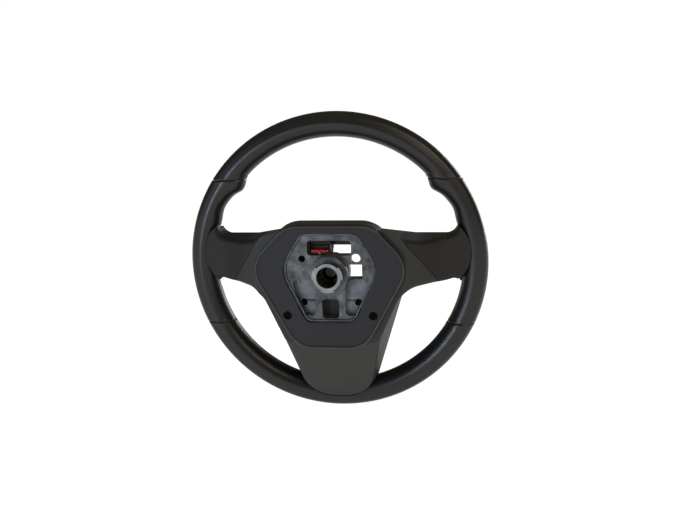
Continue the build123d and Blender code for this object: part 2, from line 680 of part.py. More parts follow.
def key_places():
    """Centres of a pod's four keys, by name."""
    dx, dy = key_bay()[0]
    rows = (("upper", dy), ("lower", -dy))
    columns = (("inner", -dx), ("outer", dx))
    return {f"{row}_{column}": (POD_X + x, POD_Y + y) for row, y in rows for column, x in columns}


def make_switch_housing():
    """Moulded tray with apertures for the keys and cheeks for the thumb wheel."""
    face_z = POD_FRONT_Z + POD_FACE
    tray = prism(pod_outline(), POD_FRONT_Z, POD_BACK_Z)
    flange_z = BEZEL_FRONT_Z + WALL + GAP
    tray += prism(pod_outline(POD_FLANGE), flange_z, flange_z + POD_FLANGE)
    tray -= prism(pod_outline(-POD_WALL), face_z, POD_BACK_Z + 1)
    for x, y in key_places().values():
        tray -= prism(Pos(x, y) * RectangleRounded(*key_size(), KEY_R), POD_FRONT_Z - 1, face_z)
    slot = Rectangle(ROLLER_WIDTH + 2 * ROLLER_CLEARANCE, 2 * (ROLLER_R + ROLLER_CLEARANCE))
    tray -= prism(Pos(POD_X, POD_Y) * slot, POD_FRONT_Z - 1, face_z)
    cheek_x = ROLLER_WIDTH / 2 + ROLLER_CLEARANCE
    for side in (-1, 1):
        limits = sorted((POD_X + side * cheek_x, POD_X + side * (cheek_x + CHEEK)))
        tray += box_between(limits, (POD_Y - ROLLER_R, POD_Y + ROLLER_R), (face_z, roller_z() + CHEEK_BELOW))
    bearing = Pos(POD_X, POD_Y, roller_z()) * Rot(0, 90, 0) * Cylinder(AXLE_R + GAP, POD_SIZE[0] / 2)
    return tray - bearing


def roller_z():
    return POD_FRONT_Z - ROLLER_PROUD + ROLLER_R


def make_switch_board():
    """Circuit board that closes the back of the pod."""
    return prism(pod_outline(-POD_WALL - GAP), POD_BACK_Z - BOARD_THICK, POD_BACK_Z)


def make_key(x, y):
    """Push key: cap, retaining flange behind the face and a plunger."""
    width, height = key_size()
    cap_front = POD_FRONT_Z - KEY_PROUD
    flange_z = POD_FRONT_Z + POD_FACE + GAP
    at = Pos(x, y)
    cap = RectangleRounded(width - 2 * KEY_CLEARANCE, height - 2 * KEY_CLEARANCE, KEY_R - KEY_CLEARANCE)
    key = prism(at * cap, cap_front, flange_z + KEY_FLANGE_H)
    flange = Rectangle(width + 2 * KEY_FLANGE, height + 2 * KEY_FLANGE)
    key += prism(at * flange, flange_z, flange_z + KEY_FLANGE_H)
    stem_end = POD_BACK_Z - BOARD_THICK - KEY_TRAVEL - KEY_STOP_GAP
    return key + prism(at * Rectangle(KEY_STEM, KEY_STEM), flange_z, stem_end)


def make_thumb_wheel():
    """Ribbed wheel on two stub axles."""
    ribs = Rot(0, 90, 0) * extrude(RegularPolygon(ROLLER_R, ROLLER_SIDES), ROLLER_WIDTH / 2, both=True)
    axle = Rot(0, 90, 0) * Cylinder(AXLE_R, ROLLER_WIDTH + 2 * (ROLLER_CLEARANCE + AXLE_LENGTH))
    return Pos(POD_X, POD_Y, roller_z()) * (ribs + axle)


def plug_outline(inset=0.0):
    """Outline of the plug in the slot, with the slot's own corner rounding."""
    width = CONNECTOR_X[1] - CONNECTOR_X[0] - 2 * inset
    height = SLOT_HEIGHT - 2 * (CONNECTOR_CLEARANCE + inset)
    corner = SLOT_R - CONNECTOR_CLEARANCE - inset
    return Pos(sum(CONNECTOR_X) / 2, SLOT_Y) * RectangleRounded(width, height, corner)


def make_connector_housing():
    """Black plug housing in the slot, with a flange against the front of the casting."""
    flange_z = PLATE_FRONT_Z - GAP
    housing = prism(plug_outline(), CONNECTOR_FRONT_Z, CONNECTOR_REAR_Z)
    housing += box_between((-FLANGE_X, FLANGE_X), FLANGE_Y, (flange_z - FLANGE_THICK, flange_z))
    housing -= box_between(FLANGE_WINDOW_X, FLANGE_WINDOW_Y, (0, HUB_RISE))
    housing -= prism(plug_outline(CONNECTOR_WALL), CONNECTOR_FLOOR_Z, HUB_RISE)
    return housing - prism(Circle(BOSS_R + GAP), 0, HUB_RISE)


def make_connector_pins():
    """Two rows of terminal pins standing on the plug's floor."""
    middle = sum(CONNECTOR_X) / 2
    pins = []
    for row in PIN_ROWS:
        for index in range(PIN_COUNT):
            x = middle + (index - (PIN_COUNT - 1) / 2) * PIN_PITCH
            pin = Pos(x, SLOT_Y + row) * Rectangle(PIN_SIZE, PIN_SIZE)
            pins.append(prism(pin, CONNECTOR_FLOOR_Z, CONNECTOR_FLOOR_Z + PIN_LENGTH))
    return pins


def make_connector_lock():
    """Red comb along the plug's lower wall that locks the terminals, with a tab on the wall's edge."""
    middle = sum(CONNECTOR_X) / 2
    half = (PIN_COUNT - 0.5) * PIN_PITCH / 2
    low = SLOT_Y - SLOT_HEIGHT / 2 + CONNECTOR_CLEARANCE + CONNECTOR_WALL + GAP
    z = (CONNECTOR_FLOOR_Z, CONNECTOR_FLOOR_Z + LOCK_HEIGHT)
    lock = box_between((middle - half, middle + half), (low, low + LOCK_THICK), z)
    for index in range(PIN_COUNT):
        left = middle - half + index * PIN_PITCH
        lock += box_between((left, left + PIN_PITCH / 2), (low, low + LOCK_THICK + LOCK_TOOTH), z)
    width, reach, thick = LOCK_TAB
    tab_z = (CONNECTOR_REAR_Z + SEAT, CONNECTOR_REAR_Z + SEAT + thick)
    lock += box_between((middle - width / 2, middle + width / 2), (low - reach, low + LOCK_THICK), tab_z)
    stem_z = (z[1] - thick, tab_z[1])
    return lock + box_between((middle - width / 2, middle + width / 2), (low, low + LOCK_THICK), stem_z)


def make_guide_sockets():
    """Black plugs in three of the guide holes, open to the driver's side."""
    sockets = []
    front = PLATE_FRONT_Z - SOCKET_PROUD
    rear = PLATE_FRONT_Z + SOCKET_DEPTH
    for place in GUIDE_PLACES:
        at = Pos(*place)
        socket = prism(at * Circle(GUIDE_HOLE_R - SEAT), front, rear)
        sockets.append(socket - prism(at * Circle(SOCKET_BORE_R), front, rear - SOCKET_END))
    return sockets


def make_horn_contact_carrier():
    """Dark moulding on the front of the casting, behind its lower window."""
    width, height = CARRIER_SIZE
    rear = PLATE_FRONT_Z - GAP
    carrier = prism(Pos(0, WINDOW_Y) * RectangleRounded(width, height, SLOT_R), rear - CARRIER_THICK, rear)
    for x in (-CARRIER_CONTACT_X, CARRIER_CONTACT_X):
        carrier += prism(Pos(x, WINDOW_Y) * Circle(CARRIER_CONTACT_R), rear - 2 * CARRIER_THICK, rear)
    return carrier


def write(name, shape):
    """Stands a piece upright and writes its file."""
    solids = shape if isinstance(shape, list) else [shape]
    upright = [STAND * solid for piece in solids for solid in piece.solids()]
    whole = upright[0] if len(upright) == 1 else Compound(children=upright)
    export_step(whole, os.path.join("parts", name + ".step"))
    print(name, len(upright), round(sum(solid.volume for solid in upright)))


def main():
    os.makedirs("parts", exist_ok=True)
    write("armature", make_armature())
    write("hub_bush", make_hub_bush())
    write("centre_bolt", make_centre_bolt())
    write("leather_rim", make_leather_rim())
    write("hub_back_cover", make_hub_back_cover())
    write("cover_screws", make_cover_screws())
    write("spoke_back_shell", make_spoke_back_shell())
    write("lower_spoke_front_trim", make_lower_front_trim())
    write("connector_housing", make_connector_housing())
    write("connector_pins", make_connector_pins())
    write("connector_lock", make_connector_lock())
    write("airbag_guide_sockets", make_guide_sockets())
    write("horn_contact_carrier", make_horn_contact_carrier())
    sided = {
        "spoke_back_trim": make_spoke_back_trim(),
        "switch_bezel": make_switch_bezel(),
        "switch_housing": make_switch_housing(),
        "switch_board": make_switch_board(),
        "thumb_wheel": make_thumb_wheel(),
    }
    for name, (x, y) in key_places().items():
        sided[name + "_key"] = make_key(x, y)
    for name, piece in sided.items():
        write("left_" + name, piece)
        write("right_" + name, mirror(piece, Plane.YZ))


if __name__ == "__main__":
    main()
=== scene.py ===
# %% [markdown]
# # A leather steering wheel, seen from the column side
#
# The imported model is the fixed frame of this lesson: metres, +Z up, the origin
# on the steering axis at the mouth of the hub bush, +Y towards the column.
# Loading it first means that every piece made below has a real place to go to.

# %% Load the frame
import json
from math import atan2, cos, degrees, exp, hypot, pi, radians, sin, tan

import bmesh
import bpy
from mathutils import Matrix, Vector


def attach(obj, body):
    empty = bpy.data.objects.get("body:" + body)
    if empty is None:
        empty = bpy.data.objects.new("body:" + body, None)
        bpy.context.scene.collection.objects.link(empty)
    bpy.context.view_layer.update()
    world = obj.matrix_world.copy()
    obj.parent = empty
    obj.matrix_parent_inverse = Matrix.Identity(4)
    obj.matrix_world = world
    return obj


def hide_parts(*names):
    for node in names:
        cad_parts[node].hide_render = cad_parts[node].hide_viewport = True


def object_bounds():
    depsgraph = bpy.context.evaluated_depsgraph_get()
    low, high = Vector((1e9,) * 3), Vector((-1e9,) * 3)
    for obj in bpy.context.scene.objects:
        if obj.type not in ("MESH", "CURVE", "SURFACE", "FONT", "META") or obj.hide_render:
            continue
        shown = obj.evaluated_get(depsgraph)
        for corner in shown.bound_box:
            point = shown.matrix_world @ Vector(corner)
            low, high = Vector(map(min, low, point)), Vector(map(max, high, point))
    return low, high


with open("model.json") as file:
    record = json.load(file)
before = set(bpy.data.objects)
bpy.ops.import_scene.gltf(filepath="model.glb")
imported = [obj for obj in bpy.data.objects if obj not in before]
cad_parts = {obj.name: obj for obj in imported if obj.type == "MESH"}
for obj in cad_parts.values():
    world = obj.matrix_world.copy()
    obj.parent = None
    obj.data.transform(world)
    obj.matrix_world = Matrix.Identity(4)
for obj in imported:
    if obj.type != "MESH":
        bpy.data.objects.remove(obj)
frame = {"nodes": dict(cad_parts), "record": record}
cad_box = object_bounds()
scene = bpy.context.scene
MM = 0.001
print("CAD box", [[round(value, 4) for value in corner] for corner in cad_box])

# %% [markdown]
# ## Camera
#
# The photograph looks at the back of the wheel from above and from the
# driver's left, yet the rim looks round. That happens when the lens faces the
# rim almost squarely and the wheel lies to one side of its axis. So the camera
# stands 0.9 m from the rim, turns only a little towards it, and a lens shift
# brings the wheel into the frame, the way an architect's camera does. The wheel
# also lies a touch askew in the picture, so the camera is turned a little round
# the steering axis.

# %% Camera
IMAGE_WIDTH = 675
CAMERA_PLACE = Vector((-0.1422, 0.815, 0.2193))
TURN_TO_RIM = radians(10)
PIXELS_PER_TANGENT = 750.0
AXIS_FROM_MIDDLE = (45.7, 60.6)  # pixels
ASKEW = radians(-1.2)
SENSOR_WIDTH = 36
NEAREST_SEEN = 0.01

camera_data = bpy.data.cameras.new("camera")
camera = bpy.data.objects.new("camera", camera_data)
scene.collection.objects.link(camera)
scene.camera = camera
sideways = Vector((-CAMERA_PLACE.x, 0, -CAMERA_PLACE.z)).normalized()
aim = Vector((0, -1, 0)) * cos(TURN_TO_RIM) + sideways * sin(TURN_TO_RIM)
facing = Matrix.LocRotScale(CAMERA_PLACE, aim.to_track_quat("-Z", "Y"), None)
camera.matrix_world = Matrix.Rotation(ASKEW, 4, "Y") @ facing
camera_data.sensor_width = SENSOR_WIDTH
camera_data.lens = SENSOR_WIDTH * PIXELS_PER_TANGENT / IMAGE_WIDTH
camera_data.shift_x = -AXIS_FROM_MIDDLE[0] / IMAGE_WIDTH
camera_data.shift_y = -AXIS_FROM_MIDDLE[1] / IMAGE_WIDTH
camera_data.clip_start = NEAREST_SEEN
shifts = [round(shift, 3) for shift in (camera_data.shift_x, camera_data.shift_y)]
print("lens", round(camera_data.lens, 1), "shift", shifts)

# %% [markdown]
# ## Colours and nodes
#
# Colours are easiest to compare with a photograph as sRGB hex values, while
# the shader works in linear light, so one function converts them.

# %% Colours
def linear(code):
    """An sRGB hex colour as linear RGBA."""
    parts = [int(code[place:place + 2], 16) / 255 for place in (1, 3, 5)]
    return [
        part / 12.92 if part <= 0.04045 else ((part + 0.055) / 1.055) ** 2.4
        for part in parts
    ] + [1]


print("black plastic", [round(part, 4) for part in linear("#17191a")])

# %% [markdown]
# Materials are built from nodes. One function adds a node with its settings and
# links, which keeps each material a short list. Blender's noise mostly lies
# between 0.3 and 0.7, so the tones of a colour ramp are spread over that stretch.

# %% Nodes
NOISE_LOW, NOISE_HIGH = 0.3, 0.7


def plug(tree, target, inputs):
    """Links a node's inputs to other nodes' sockets, or gives them plain values."""
    for socket, value in inputs.items():
        if isinstance(value, bpy.types.NodeSocket):
            tree.links.new(value, target.inputs[socket])
        else:
            target.inputs[socket].default_value = value


def node(tree, kind, inputs=(), tones=(), **settings):
    """Adds a node with its settings, its inputs and, for a colour ramp, its tones."""
    made = tree.nodes.new(kind)
    for name, value in settings.items():
        setattr(made, name, value)
    plug(tree, made, dict(inputs))
    stops = made.color_ramp.elements if tones else ()
    while len(stops) < len(tones):
        stops.new(0.5)
    for index, (stop, tone) in enumerate(zip(stops, tones)):
        stop.position = NOISE_LOW + (NOISE_HIGH - NOISE_LOW) * index / (len(tones) - 1)
        stop.color = linear(tone)
    return made


def start_material(name):
    """A new material with its shader, and the piece's own place in metres."""
    material = bpy.data.materials.new(name)
    material.use_nodes = True
    tree = material.node_tree
    shader = tree.nodes["Principled BSDF"]
    place = node(tree, "ShaderNodeTexCoord").outputs["Object"]
    return material, tree, shader, place


print("tones spread from", NOISE_LOW, "to", NOISE_HIGH)

# %% [markdown]
# ## Studio
#
# A product picture on white. The floor is one large square just under the
# wheel, so large that its edge is never in view.

# %% Floor
FLOOR_HALF = 30
FLOOR_GAP = 0.5 * MM


def new_object(name, bm):
    """Turns a bmesh into an object of the scene and frees the bmesh."""
    mesh = bpy.data.meshes.new(name)
    bm.to_mesh(mesh)
    bm.free()
    made = bpy.data.objects.new(name, mesh)
    scene.collection.objects.link(made)
    return made


bm = bmesh.new()
bmesh.ops.create_grid(bm, x_segments=1, y_segments=1, size=FLOOR_HALF)
bmesh.ops.translate(bm, verts=bm.verts, vec=(0, 0, cad_box[0][2] - FLOOR_GAP))
floor = new_object("floor", bm)
# matt paint: no shine, so the wheel has no mirror image below it
paint, floor_tree, shader, _ = start_material("matt_white_floor_paint")
plug(floor_tree, shader, {
    "Base Color": linear("#6e6e6e"), "Roughness": 1.0, "Specular IOR Level": 0.0,
    "Emission Color": (1, 1, 1, 1),
})
floor.data.materials.append(paint)
print("floor", round(cad_box[0][2] - FLOOR_GAP, 4), "m from the axis")

# %% [markdown]
# Floor and backdrop are white where the lens sees them but dim as lights, so
# dark pieces keep their dark edges. A Light Path node tells the two apart. The
# floor still lights the wheel from below.

# %% White floor and backdrop
WHITE = 1.0
FLOOR_LIGHT = 0.74
AMBIENT = 0.06

world = bpy.data.worlds.new("studio")
scene.world = world
world.use_nodes = True
backdrop = world.node_tree.nodes["Background"]
backdrop.inputs["Color"].default_value = (1, 1, 1, 1)
for tree, target, socket, light in (
    (floor_tree, shader, "Emission Strength", FLOOR_LIGHT),
    (world.node_tree, backdrop, "Strength", AMBIENT),
):
    seen = node(tree, "ShaderNodeLightPath").outputs["Is Camera Ray"]
    glow = node(tree, "ShaderNodeMapRange", {"Value": seen, "To Min": light, "To Max": WHITE})
    plug(tree, target, {socket: glow.outputs[0]})
scene.view_settings.view_transform = "Standard"
print("floor gives", FLOOR_LIGHT, "and the backdrop", AMBIENT, "of the white that shows")

# %% [markdown]
# Two soft lamps, one cool and one warm, draw the long highlights on the rim.
# Another shows the front, and the one above gives no glare, as through a
# polarising filter. All of them face the middle of the rim.

# %% Lamps
RIM_PLANE = -85 * MM
RIM_MIDDLE = Vector((0, RIM_PLANE, 0))
LAMPS = (
    # name, place and width in metres, watts, tone
    ("cool_lamp", (0.75, 1.25, 0.0), 0.25, 5.0, "#d6e6ff"),
    ("warm_lamp", (-0.8, 1.1, 0.9), 1.0, 7.0, "#ffedd2"),
    ("top_lamp", (0.0, 0.1, 1.3), 0.6, 18.0, "#ffe8c4"),
    ("front_lamp", (-1.0, -1.5, 0.1), 1.0, 14.0, "#ffffff"),
)
for name, spot, width, watts, tone in LAMPS:
    lamp_data = bpy.data.lights.new(name, "AREA")
    lamp_data.size = width
    lamp_data.energy = watts
    lamp_data.color = linear(tone)[:3]
    lamp = bpy.data.objects.new(name, lamp_data)
    scene.collection.objects.link(lamp)
    lamp.location = spot
    lamp.rotation_euler = (RIM_MIDDLE - lamp.location).to_track_quat("-Z", "Y").to_euler()
    lamp.visible_glossy = name != "top_lamp"
print("studio with", len(LAMPS), "lamps")

# %% [markdown]
# ## Leather
#
# Steering-wheel leather is split cowhide with a fine pebble pressed into it and
# a satin coat. Cells of about a millimetre give the pebble, a little coarser
# than the real one so that it shows. Broader noise gives the creases of the
# stretched hide, and hands polish it unevenly. To the eye that is a soft black
# with long, slightly broken highlights.

# %% Leather material
PEBBLE_MM, CREASE_MM, BLOTCH_MM = 1.3, 7, 40
CREASE_SHARE = 0.5
LEATHER_RELIEF = 0.06 * MM


def per(size_mm):
    """Texture scale whose features are about this many millimetres."""
    return 1000 / size_mm


leather, tree, shader, place = start_material("pressed_cowhide")
blotch = node(
    tree, "ShaderNodeTexNoise", {"Vector": place, "Scale": per(BLOTCH_MM), "Detail": 4}
).outputs["Fac"]
tint = node(tree, "ShaderNodeValToRGB", {"Fac": blotch}, tones=("#141414", "#1b1b1a"))
pebble = node(
    tree, "ShaderNodeTexVoronoi", {"Vector": place, "Scale": per(PEBBLE_MM)},
    feature="SMOOTH_F1",
).outputs["Distance"]
crease = node(
    tree, "ShaderNodeTexNoise",
    {"Vector": place, "Scale": per(CREASE_MM), "Detail": 6, "Roughness": 0.6},
).outputs["Fac"]
relief = node(
    tree, "ShaderNodeMath", {0: crease, 1: CREASE_SHARE, 2: pebble}, operation="MULTIPLY_ADD"
).outputs[0]
bump = node(
    tree, "ShaderNodeBump", {"Height": relief, "Strength": 0.25, "Distance": LEATHER_RELIEF}
)
polish = node(tree, "ShaderNodeMapRange", {"Value": crease, "To Min": 0.27, "To Max": 0.37})
plug(tree, shader, {
    "Base Color": tint.outputs[0], "Roughness": polish.outputs[0],
    "Normal": bump.outputs[0], "IOR": 1.48,
})
print("leather pebble", PEBBLE_MM, "mm")

# %% [markdown]
# ## The padded rim
#
# The real rim is a cast ring in foam, with leather stretched and sewn round it.
# A section is spun round the steering axis, because that keeps long clean
# highlights. The section leans, its inner end towards the column, and its back
# is pressed nearly flat between two soft ridges, which the photograph shows as
# thin bright lines.

# %% Spin the rim
RIM_RIDGE_R = 172.3 * MM
OUTER_HALF = 12.3 * MM
INNER_HALF = 18.5 * MM
HALF_DEPTH = 16.5 * MM
FLAT_REAR = 15.8 * MM
FLAT_CROWN = 0.15
TILT = radians(14)
SECTION_STEPS = 72
SPIN_STEPS = 480
SPIN_MERGE = 0.01 * MM
AXIS = Vector((0, 1, 0))

bm = bmesh.new()
bmesh.ops.create_circle(bm, segments=SECTION_STEPS, radius=1)
for vertex in bm.verts:
    across = vertex.co.x * (OUTER_HALF if vertex.co.x > 0 else INNER_HALF)
    depth = vertex.co.y * HALF_DEPTH
    if depth > FLAT_REAR:
        depth = FLAT_REAR + FLAT_CROWN * (depth - FLAT_REAR)
    out = across * cos(TILT) + depth * sin(TILT)
    back = depth * cos(TILT) - across * sin(TILT)
    vertex.co = (RIM_RIDGE_R + out, RIM_PLANE + back, 0)
bmesh.ops.spin(
    bm, geom=bm.verts[:] + bm.edges[:], cent=RIM_MIDDLE, axis=AXIS, angle=2 * pi,
    steps=SPIN_STEPS, use_merge=True,
)
bmesh.ops.remove_doubles(bm, verts=bm.verts, dist=SPIN_MERGE)
bmesh.ops.recalc_face_normals(bm, faces=bm.faces)
print("rim ring", len(bm.faces), "faces")

# %% [markdown]
# The thumb rests swell inwards at ten and two o'clock and drop into a hollow
# above each side spoke. Moving the ring's own vertices towards the axis, less
# and less towards the ridge, keeps the leather one smooth skin.

# %% Thumb rests
REST_ANGLE, REST_SPREAD, REST_SWELL = 38, 4.3, 6.8 * MM
HOLLOW_ANGLE, HOLLOW_SPREAD, HOLLOW_DEPTH = 25, 4.5, 2.4 * MM


def ease(share):
    """Smooth step from 0 to 1."""
    share = min(max(share, 0), 1)
    return share * share * (3 - 2 * share)


def bell(distance, spread):
    """Bell curve that is 1 in its middle."""
    return exp(-(distance / spread) ** 2)


def thumb_swell(angle):
    """How far the rim's inside moves in, in metres, at an angle above the spokes."""
    rest = REST_SWELL * bell(angle - REST_ANGLE, REST_SPREAD)
    return rest - HOLLOW_DEPTH * bell(angle - HOLLOW_ANGLE, HOLLOW_SPREAD)


for vertex in bm.verts:
    radius = hypot(vertex.co.x, vertex.co.z)
    angle = degrees(atan2(vertex.co.z, abs(vertex.co.x)))
    share = ease((RIM_RIDGE_R - radius) / INNER_HALF)
    factor = 1 - thumb_swell(angle) * share / radius
    vertex.co.x *= factor
    vertex.co.z *= factor
print("thumb rests at", REST_ANGLE, "degrees")

# %% [markdown]
# Four seams join the leather panels: the photograph shows them as thin dark
# creases, level across the rim. A few planes cut extra edges beside each seam,
# so that the crease can be real geometry.

# %% Cut edges for the seams
SEAM_LEVELS = (103 * MM, -76 * MM)
CUTS_MM = (-3, -1.8, -1.1, -0.6, -0.25, 0, 0.25, 0.6, 1.1, 1.8, 3)
CUT_BAND = 8 * MM
CUT_MERGE = 0.001 * MM

for level in SEAM_LEVELS:
    for shift in CUTS_MM:
        near = [face for face in bm.faces if abs(face.calc_center_median().z - level) < CUT_BAND]
        edges = dict.fromkeys(edge for face in near for edge in face.edges)
        corners = dict.fromkeys(vertex for face in near for vertex in face.verts)
        bmesh.ops.bisect_plane(
            bm, geom=[*edges, *near, *corners], dist=CUT_MERGE,
            plane_co=(0, 0, level + shift * MM), plane_no=(0, 0, 1),
        )
print("seams at", [round(level, 3) for level in SEAM_LEVELS])

# %% [markdown]
# The thread pulls the leather in towards the middle of the section, and beside
# it the leather puckers up a little. Both fade out as bell curves.

# %% Sink the seams
SEAM_SPREAD, SEAM_DEPTH, SEAM_REACH = 0.7 * MM, 0.9 * MM, 6 * MM
PUCKER_PLACE, PUCKER_SPREAD, PUCKER_HEIGHT = 2 * MM, 1.2 * MM, 0.15 * MM
SECTION_MIDDLE_R = RIM_RIDGE_R - 3 * MM

sunk = 0
for vertex in bm.verts:
    outward = Vector((vertex.co.x, 0, vertex.co.z)) / hypot(vertex.co.x, vertex.co.z)
    middle = outward * SECTION_MIDDLE_R + RIM_MIDDLE
    for level in SEAM_LEVELS:
        gap = vertex.co.z - level
        if abs(gap) < SEAM_REACH:
            sink = SEAM_DEPTH * bell(gap, SEAM_SPREAD)
            sink -= PUCKER_HEIGHT * bell(abs(gap) - PUCKER_PLACE, PUCKER_SPREAD)
            vertex.co += (middle - vertex.co).normalized() * sink
            sunk += 1
print(sunk, "vertices moved at the seams")

# %% [markdown]
# The spokes enter the rim through pockets in the foam. The CAD rim already has
# these pockets, so a merged copy of it, grown by a hair, keeps only what lies
# inside it: the spun skin stays as it is and the pockets are cut out.

# %% Mould for the pockets
GROWTH = 0.15 * MM
CAD_MERGE = 0.005 * MM


def merged_copy(name):
    """A CAD node's loose triangles as a bmesh, joined where they meet."""
    bm = bmesh.new()
    bm.from_mesh(frame["nodes"][name].data)
    bmesh.ops.remove_doubles(bm, verts=bm.verts, dist=CAD_MERGE)
    bm.normal_update()
    return bm


rim = new_object("leather_skin", bm)
bm = merged_copy("leather_rim")
for vertex in bm.verts:
    vertex.co += vertex.normal * GROWTH
mould = new_object("rim_mould", bm)
print("mould", len(mould.data.polygons), "faces")

# %% [markdown]
# A boolean modifier does the cutting, and its result becomes the mesh itself, so
# no modifier stays on the piece. Only edges sharper than 40 degrees, such as the
# edges of the pockets, are shaded sharp.

# %% Open the pockets
SHARP_ANGLE = radians(40)

cut = rim.modifiers.new("pockets", "BOOLEAN")
cut.operation = "INTERSECT"
cut.object = mould
cut.solver = "MANIFOLD"
depsgraph = bpy.context.evaluated_depsgraph_get()
cut_mesh = bpy.data.meshes.new_from_object(rim.evaluated_get(depsgraph))
rim.modifiers.clear()
rim.data = cut_mesh
bpy.data.objects.remove(mould)
rim.data.shade_smooth()
rim.data.set_sharp_from_angle(angle=SHARP_ANGLE)
rim.data.materials.clear()
rim.data.materials.append(leather)
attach(rim, "wheel")
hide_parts("leather_rim")
print("leather skin", len(rim.data.polygons), "faces")

# %% [markdown]
# ## Mouldings
#
# The covers, trims and keys are injection mouldings. They differ in how the
# tool was etched: the shield has a coarse grain, the spokes a fine satin, the
# connector is plain nylon. One function sets the common part: a slow change of
# tone, the etched grain as bump, and polish that varies a little.

# %% One function for mouldings
CLOUD_MM = 25
POLISH_SPREAD = 0.06


def moulding(name, dark, light, grain_mm, relief_mm, rough, shine=0.5):
    """Moulded plastic between two tones, with an etched grain of a given size and depth."""
    material, tree, shader, place = start_material(name)
    cloud = node(
        tree, "ShaderNodeTexNoise",
        {"Vector": place, "Scale": per(CLOUD_MM), "Detail": 5, "Roughness": 0.6},
    ).outputs["Fac"]
    grain = node(
        tree, "ShaderNodeTexNoise", {"Vector": place, "Scale": per(grain_mm), "Detail": 2}
    ).outputs["Fac"]
    tint = node(tree, "ShaderNodeValToRGB", {"Fac": cloud}, tones=(dark, light))
    polish = node(tree, "ShaderNodeMapRange", {
        "Value": cloud, "To Min": rough - POLISH_SPREAD, "To Max": rough + POLISH_SPREAD,
    })
    bump = node(
        tree, "ShaderNodeBump", {"Height": grain, "Strength": 0.6, "Distance": relief_mm * MM}
    )
    plug(tree, shader, {
        "Base Color": tint.outputs[0], "Roughness": polish.outputs[0],
        "Normal": bump.outputs[0], "IOR": 1.5, "Specular IOR Level": shine,
    })
    return material


print("mouldings change tone about every", CLOUD_MM, "mm")

# %% [markdown]
# The finishes are kept under the slots that the record names. Three more are for
# pieces that look brighter or darker in the photograph than their slot:
# plain_bead is a painted highlight, trim_plastic and the dead black are painted
# shade. The grains are somewhat coarser than real etching, so that they show.

# %% Moulded plastics
plastics = {
    # a deep etching scatters the light: a dull, slightly blue black
    "grained_plastic": moulding("etched_polypropylene", "#14151a", "#1a1b21", 1.0, 0.2, 0.62),
    # a fine etching: a warm dark grey with a soft sheen
    "smooth_plastic": moulding("satin_abs", "#1f1f1c", "#272725", 0.5, 0.06, 0.55),
    # hardly etched and dyed through: a plain black
    "black_plastic": moulding("black_nylon", "#0c0d0d", "#121313", 0.6, 0.05, 0.6),
    # smooth and brightly dyed: the one strong colour on the wheel
    "red_plastic": moulding("red_polyester", "#c6202a", "#de343c", 0.6, 0.04, 0.4),
    # rubber is matt: a grey without highlights
    "grey_rubber": moulding("soft_rubber", "#2b2b2c", "#353536", 0.4, 0.05, 0.75),
    # soft-touch paint: black under a dull bloom
    "key_plastic": moulding("soft_touch_abs", "#1c1c1d", "#232324", 0.4, 0.04, 0.6),
    # black oxide, darkened further as painted shade: screw heads as dark as holes
    "dark_screw": moulding("black_oxide_steel", "#060606", "#0b0b0c", 0.8, 0.05, 0.7, 0.1),
    # painted highlight: a lighter bead that shines a little
    "plain_bead": moulding("polypropylene_painted_highlight", "#2a2b2f", "#323338", 1.0, 0.02, 0.36),
    # painted shade: a black with no shine at all, for deep sockets and joints
    "painted_shade_black": moulding("painted_shade_black_nylon", "#040404", "#080808", 0.6, 0.05, 0.8, 0.1),
    # painted shade: the shell's satin made darker, with less sheen
    "trim_plastic": moulding("satin_abs_painted_shade", "#121211", "#181817", 0.5, 0.06, 0.58, 0.42),
    # lacquer: a green with a gloss
    "circuit_board": moulding("green_solder_resist", "#0d3a1e", "#12502a", 1.6, 0.05, 0.35),
}
print(len(plastics), "mouldings")

# %% [markdown]
# ## Metals
#
# The hub plate is an aluminium die casting: matt grey with darker stains where
# the release agent burned in. The raised plate is darker, and what lies deeper
# is lighter, so the tone follows the depth along the steering axis.

# %% Die casting
STAIN_MM, SKIN_MM = 14, 1.2
LIGHTER_DEPTH, DARKER_DEPTH = -24.5 * MM, -22.5 * MM
CASTING_RELIEF = 0.15 * MM

casting, tree, shader, place = start_material("die_cast_aluminium")
stain = node(
    tree, "ShaderNodeTexNoise",
    {"Vector": place, "Scale": per(STAIN_MM), "Detail": 8, "Roughness": 0.65},
).outputs["Fac"]
skin = node(
    tree, "ShaderNodeTexNoise", {"Vector": place, "Scale": per(SKIN_MM), "Detail": 3}
).outputs["Fac"]
raised_tones = node(
    tree, "ShaderNodeValToRGB", {"Fac": stain}, tones=("#3c3f42", "#5f6263", "#7d8081")
).outputs[0]
deep_tones = node(tree, "ShaderNodeValToRGB", {"Fac": stain}, tones=("#62666b", "#80858b")).outputs[0]
depth = node(tree, "ShaderNodeSeparateXYZ", {"Vector": place}).outputs["Y"]
raised = node(
    tree, "ShaderNodeMapRange",
    {"Value": depth, "From Min": LIGHTER_DEPTH, "From Max": DARKER_DEPTH},
).outputs[0]
# darker where the plate is raised, lighter where it lies deeper
tint = node(tree, "ShaderNodeMix", {"Factor": raised, "A": deep_tones, "B": raised_tones}, data_type="RGBA")
polish = node(tree, "ShaderNodeMapRange", {"Value": stain, "To Min": 0.62, "To Max": 0.48})
bump = node(
    tree, "ShaderNodeBump", {"Height": skin, "Strength": 0.5, "Distance": CASTING_RELIEF}
)
plug(tree, shader, {
    "Base Color": tint.outputs["Result"], "Roughness": polish.outputs[0],
    "Normal": bump.outputs[0], "Metallic": 0.8,
})
print("casting stains", STAIN_MM, "mm")

# %% [markdown]
# The bush is turned steel, so its face carries fine rings round the axis, drawn
# coarser than a lathe leaves them so that they show. Inside the bore the steel
# turns into a dark brown that isn't metallic: painted shade in the deep bore.

# %% Turned steel
RING_MM, TARNISH_MM = 0.7, 9
WAVE_AT_SCALE_ONE = 0.314  # ring spacing of a wave texture at scale 1
# painted shade fills the bore inside the first radius and fades out by the second
FULL_SHADE_R, NO_SHADE_R = 12.2 * MM, 12.7 * MM
RING_RELIEF = 0.05 * MM

